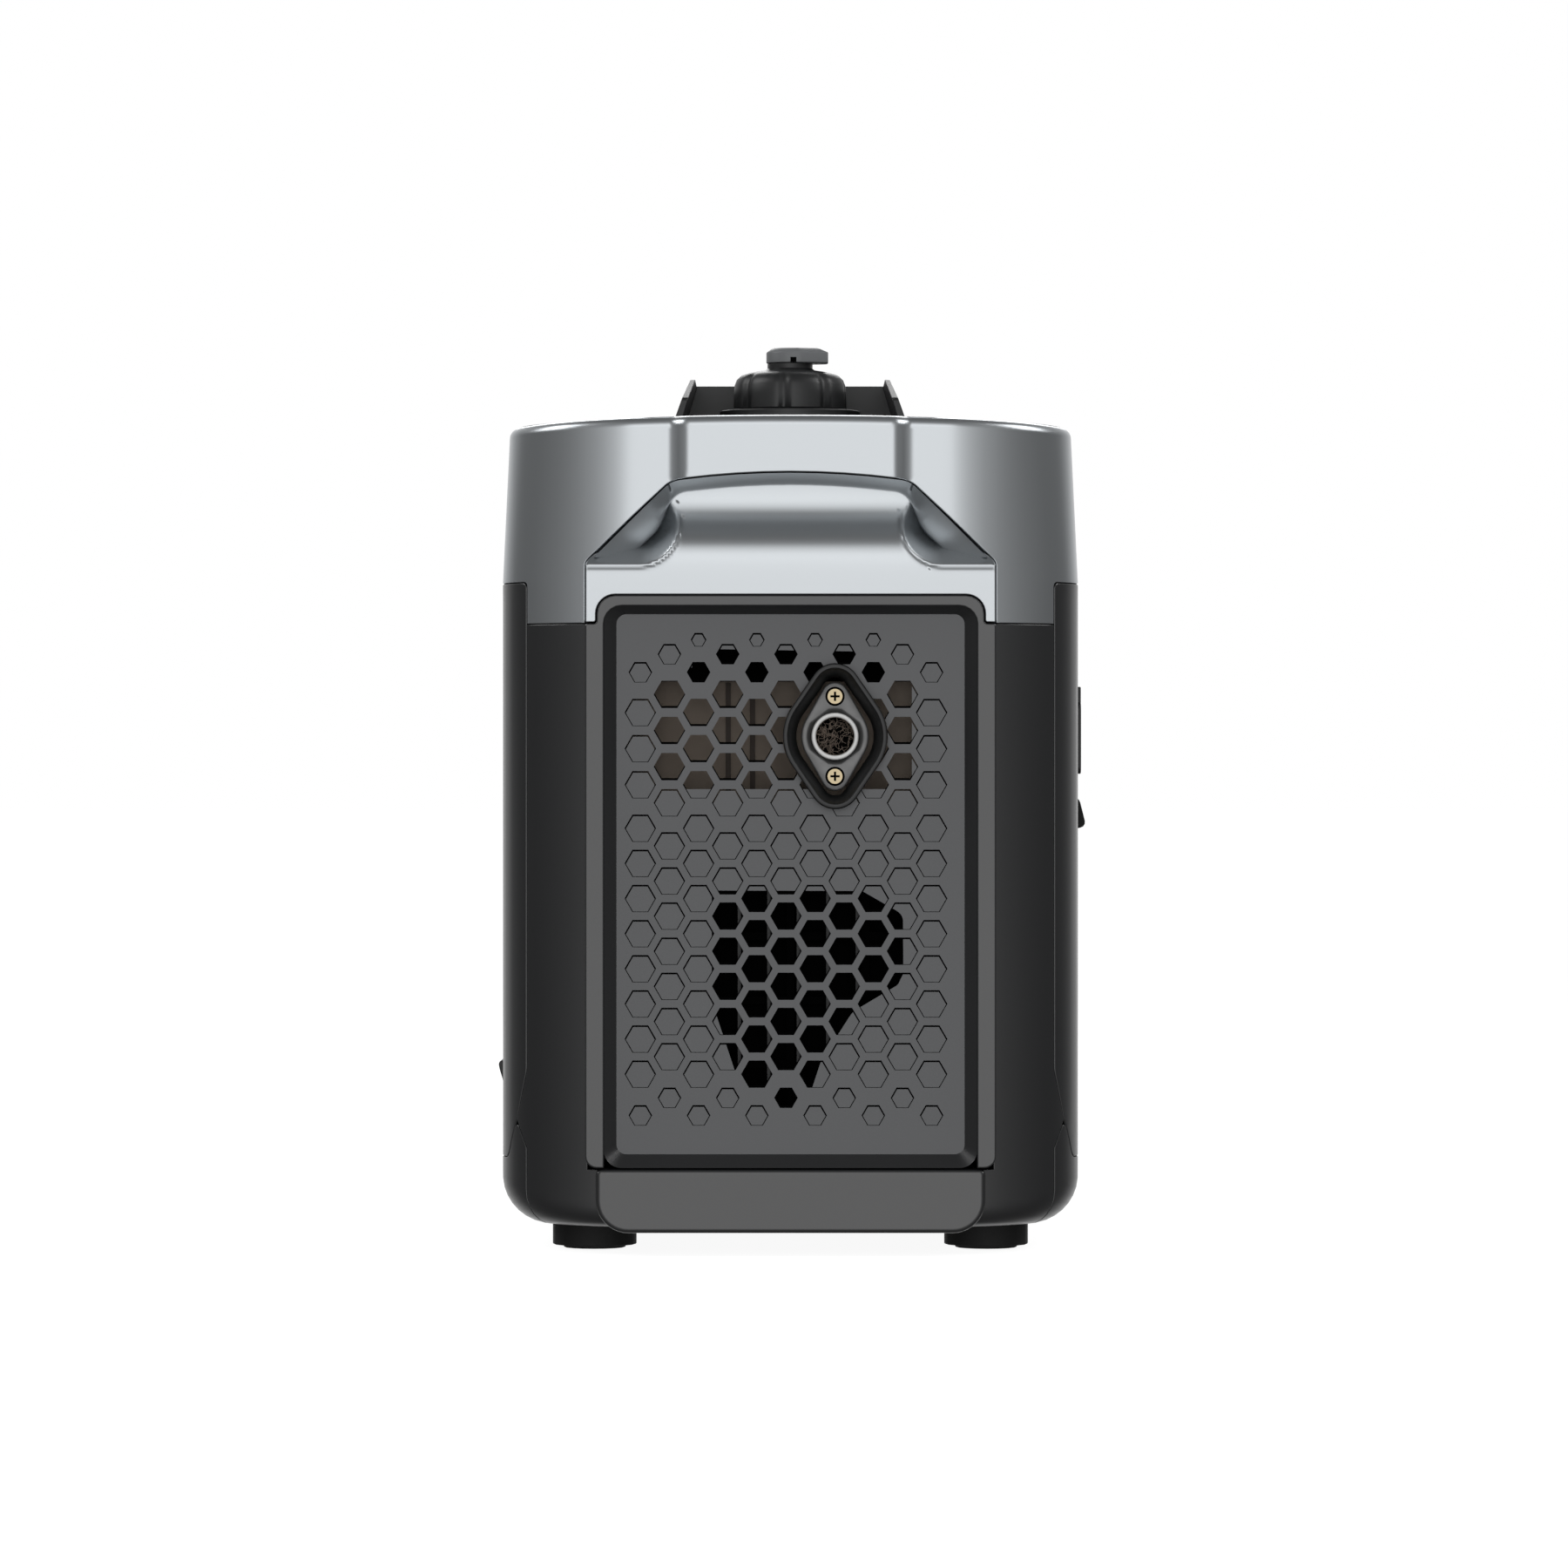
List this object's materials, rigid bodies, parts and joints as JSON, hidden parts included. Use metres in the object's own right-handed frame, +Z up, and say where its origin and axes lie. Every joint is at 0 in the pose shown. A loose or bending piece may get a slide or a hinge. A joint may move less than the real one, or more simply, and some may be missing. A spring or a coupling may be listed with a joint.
{
  "type": "enclosed inverter generator",
  "caption": "Enclosed petrol inverter generator with end grab handles, honeycomb exhaust grille, top fuel filler, recoil starter, control panel and rubber feet.",
  "frame": {"origin": "centre of the footprint on the ground under the feet", "axes": "+Z up, -Y out of the exhaust end, +Y out of the control panel end, +X out of the recoil starter side"},
  "size_m": [0.3144, 0.596, 0.478],
  "materials": {
    "silver_plastic": "silver-grey painted ABS, satin with a metallic sheen",
    "shell_plastic": "black moulded polypropylene, satin",
    "grille_plastic": "dark grey moulded ABS, satin",
    "black_plastic": "black moulded nylon, fine grain",
    "rubber": "black rubber, matt",
    "hot_steel": "heat-darkened sheet steel",
    "steel": "machined steel",
    "yellow_zinc": "yellow-passivated zinc plate",
    "cast_aluminium": "die-cast aluminium, fine grain",
    "winding_copper": "enamelled copper windings",
    "display_window": "smoked clear plastic window"
  },
  "bodies": {
    "enclosure": {"top_cover": "silver_plastic", "rear_handle_cup": "silver_plastic", "front_handle_cup": "silver_plastic", "filler_ring": "silver_plastic", "rear_cover": "shell_plastic", "front_cover": "shell_plastic", "base_pan": "shell_plastic", "left_side_cover": "shell_plastic", "right_side_cover": "shell_plastic", "rear_grille": "grille_plastic", "control_panel": "grille_plastic", "exhaust_shroud": "black_plastic", "cooling_duct": "black_plastic", "recoil_housing": "black_plastic", "rope_guide": "black_plastic", "air_filter_box": "black_plastic", "fuel_tank": "black_plastic", "ignition_coil": "black_plastic", "cap_guard": "black_plastic", "ac_outlet_left": "black_plastic", "ac_outlet_right": "black_plastic", "dc_port": "black_plastic", "foot_rear_left": "rubber", "foot_rear_right": "rubber", "foot_front_left": "rubber", "foot_front_right": "rubber", "spark_plug_boot": "rubber", "ignition_lead": "rubber", "fuel_hose": "rubber", "muffler": "hot_steel", "spark_arrester": "hot_steel", "exhaust_flange": "steel", "spark_plug": "steel", "exhaust_screw_upper": "yellow_zinc", "exhaust_screw_lower": "yellow_zinc", "ground_terminal": "yellow_zinc", "crankcase": "cast_aluminium", "cylinder": "cast_aluminium", "cylinder_head": "cast_aluminium", "carburettor": "cast_aluminium", "inverter_module": "cast_aluminium", "alternator_stator": "winding_copper", "status_display": "display_window"},
    "crank_assembly": {"crankshaft": "steel", "alternator_rotor": "steel", "cooling_fan": "black_plastic"},
    "piston": {"piston": "cast_aluminium"},
    "recoil_pulley": {"recoil_pulley": "black_plastic"},
    "recoil_grip": {"recoil_grip": "rubber"},
    "fuel_cap": {"fuel_cap": "black_plastic"},
    "vent_knob": {"vent_knob": "silver_plastic"},
    "engine_dial": {"engine_dial": "black_plastic"},
    "maintenance_door": {"maintenance_door": "shell_plastic"},
    "door_latch": {"door_latch": "black_plastic"},
    "oil_filler_cap": {"oil_filler_cap": "black_plastic"},
    "dc_port_cover": {"dc_port_cover": "rubber"},
    "eco_switch": {"eco_switch": "black_plastic"},
    "reset_button": {"reset_button": "rubber"},
    "breaker_button": {"breaker_button": "rubber"}
  },
  "joints": [
    {"name": "crank_spin", "type": "hinge", "parent": "enclosure", "child": "crank_assembly", "pos_m": [0.008, -0.152, 0.173], "axis": [0, 1, 0], "continuous": true},
    {"name": "piston_stroke", "type": "slide", "parent": "enclosure", "child": "piston", "axis": [0, 0, 1], "range_m": [0, 0.044]},
    {"name": "recoil_pull", "type": "slide", "parent": "enclosure", "child": "recoil_grip", "axis": [1, 0, 0], "range_m": [0, 0.6], "stiffness_N_per_m": 25, "springref_m": -0.4},
    {"name": "recoil_spin", "type": "hinge", "parent": "enclosure", "child": "recoil_pulley", "pos_m": [0.008, -0.025, 0.173], "axis": [0, 1, 0], "range_deg": [0, 700]},
    {"name": "fuel_cap_turn", "type": "hinge", "parent": "enclosure", "child": "fuel_cap", "pos_m": [0, 0, 0.45], "axis": [0, 0, 1], "range_deg": [0, 180]},
    {"name": "vent_turn", "type": "hinge", "parent": "fuel_cap", "child": "vent_knob", "pos_m": [0, 0, 0.474], "axis": [0, 0, 1], "range_deg": [0, 90]},
    {"name": "dial_turn", "type": "hinge", "parent": "enclosure", "child": "engine_dial", "pos_m": [0.15, -0.028, 0.264], "axis": [1, 0, 0], "range_deg": [-60, 60]},
    {"name": "door_open", "type": "hinge", "parent": "enclosure", "child": "maintenance_door", "pos_m": [-0.148, -0.1, 0.29], "axis": [0, 1, 0], "range_deg": [0, 75]},
    {"name": "latch_pull", "type": "hinge", "parent": "maintenance_door", "child": "door_latch", "pos_m": [-0.1483, -0.1, 0.0728], "axis": [0, -1, 0], "range_deg": [0, 30], "stiffness_Nm_per_rad": 0.05, "springref_deg": -34.38},
    {"name": "oil_cap_turn", "type": "hinge", "parent": "enclosure", "child": "oil_filler_cap", "pos_m": [-0.061, -0.152, 0.133], "axis": [-1, 0, 0], "range_deg": [0, 360]},
    {"name": "dc_cover_open", "type": "hinge", "parent": "enclosure", "child": "dc_port_cover", "pos_m": [-0.044, 0.29305, 0.235], "axis": [1, 0, 0], "range_deg": [0, 110]},
    {"name": "eco_rock", "type": "hinge", "parent": "enclosure", "child": "eco_switch", "pos_m": [0.044, 0.2875, 0.216], "axis": [1, 0, 0], "range_deg": [-8, 8]},
    {"name": "reset_push", "type": "slide", "parent": "enclosure", "child": "reset_button", "axis": [0, -1, 0], "range_m": [0, 0.002], "stiffness_N_per_m": 400, "springref_m": -0.002},
    {"name": "breaker_push", "type": "slide", "parent": "enclosure", "child": "breaker_button", "axis": [0, -1, 0], "range_m": [0, 0.002], "stiffness_N_per_m": 400, "springref_m": -0.002}
  ],
  "couplings": [
    {"joint": "recoil_spin", "follows": "recoil_pull", "rad_per_m": 20}
  ]
}
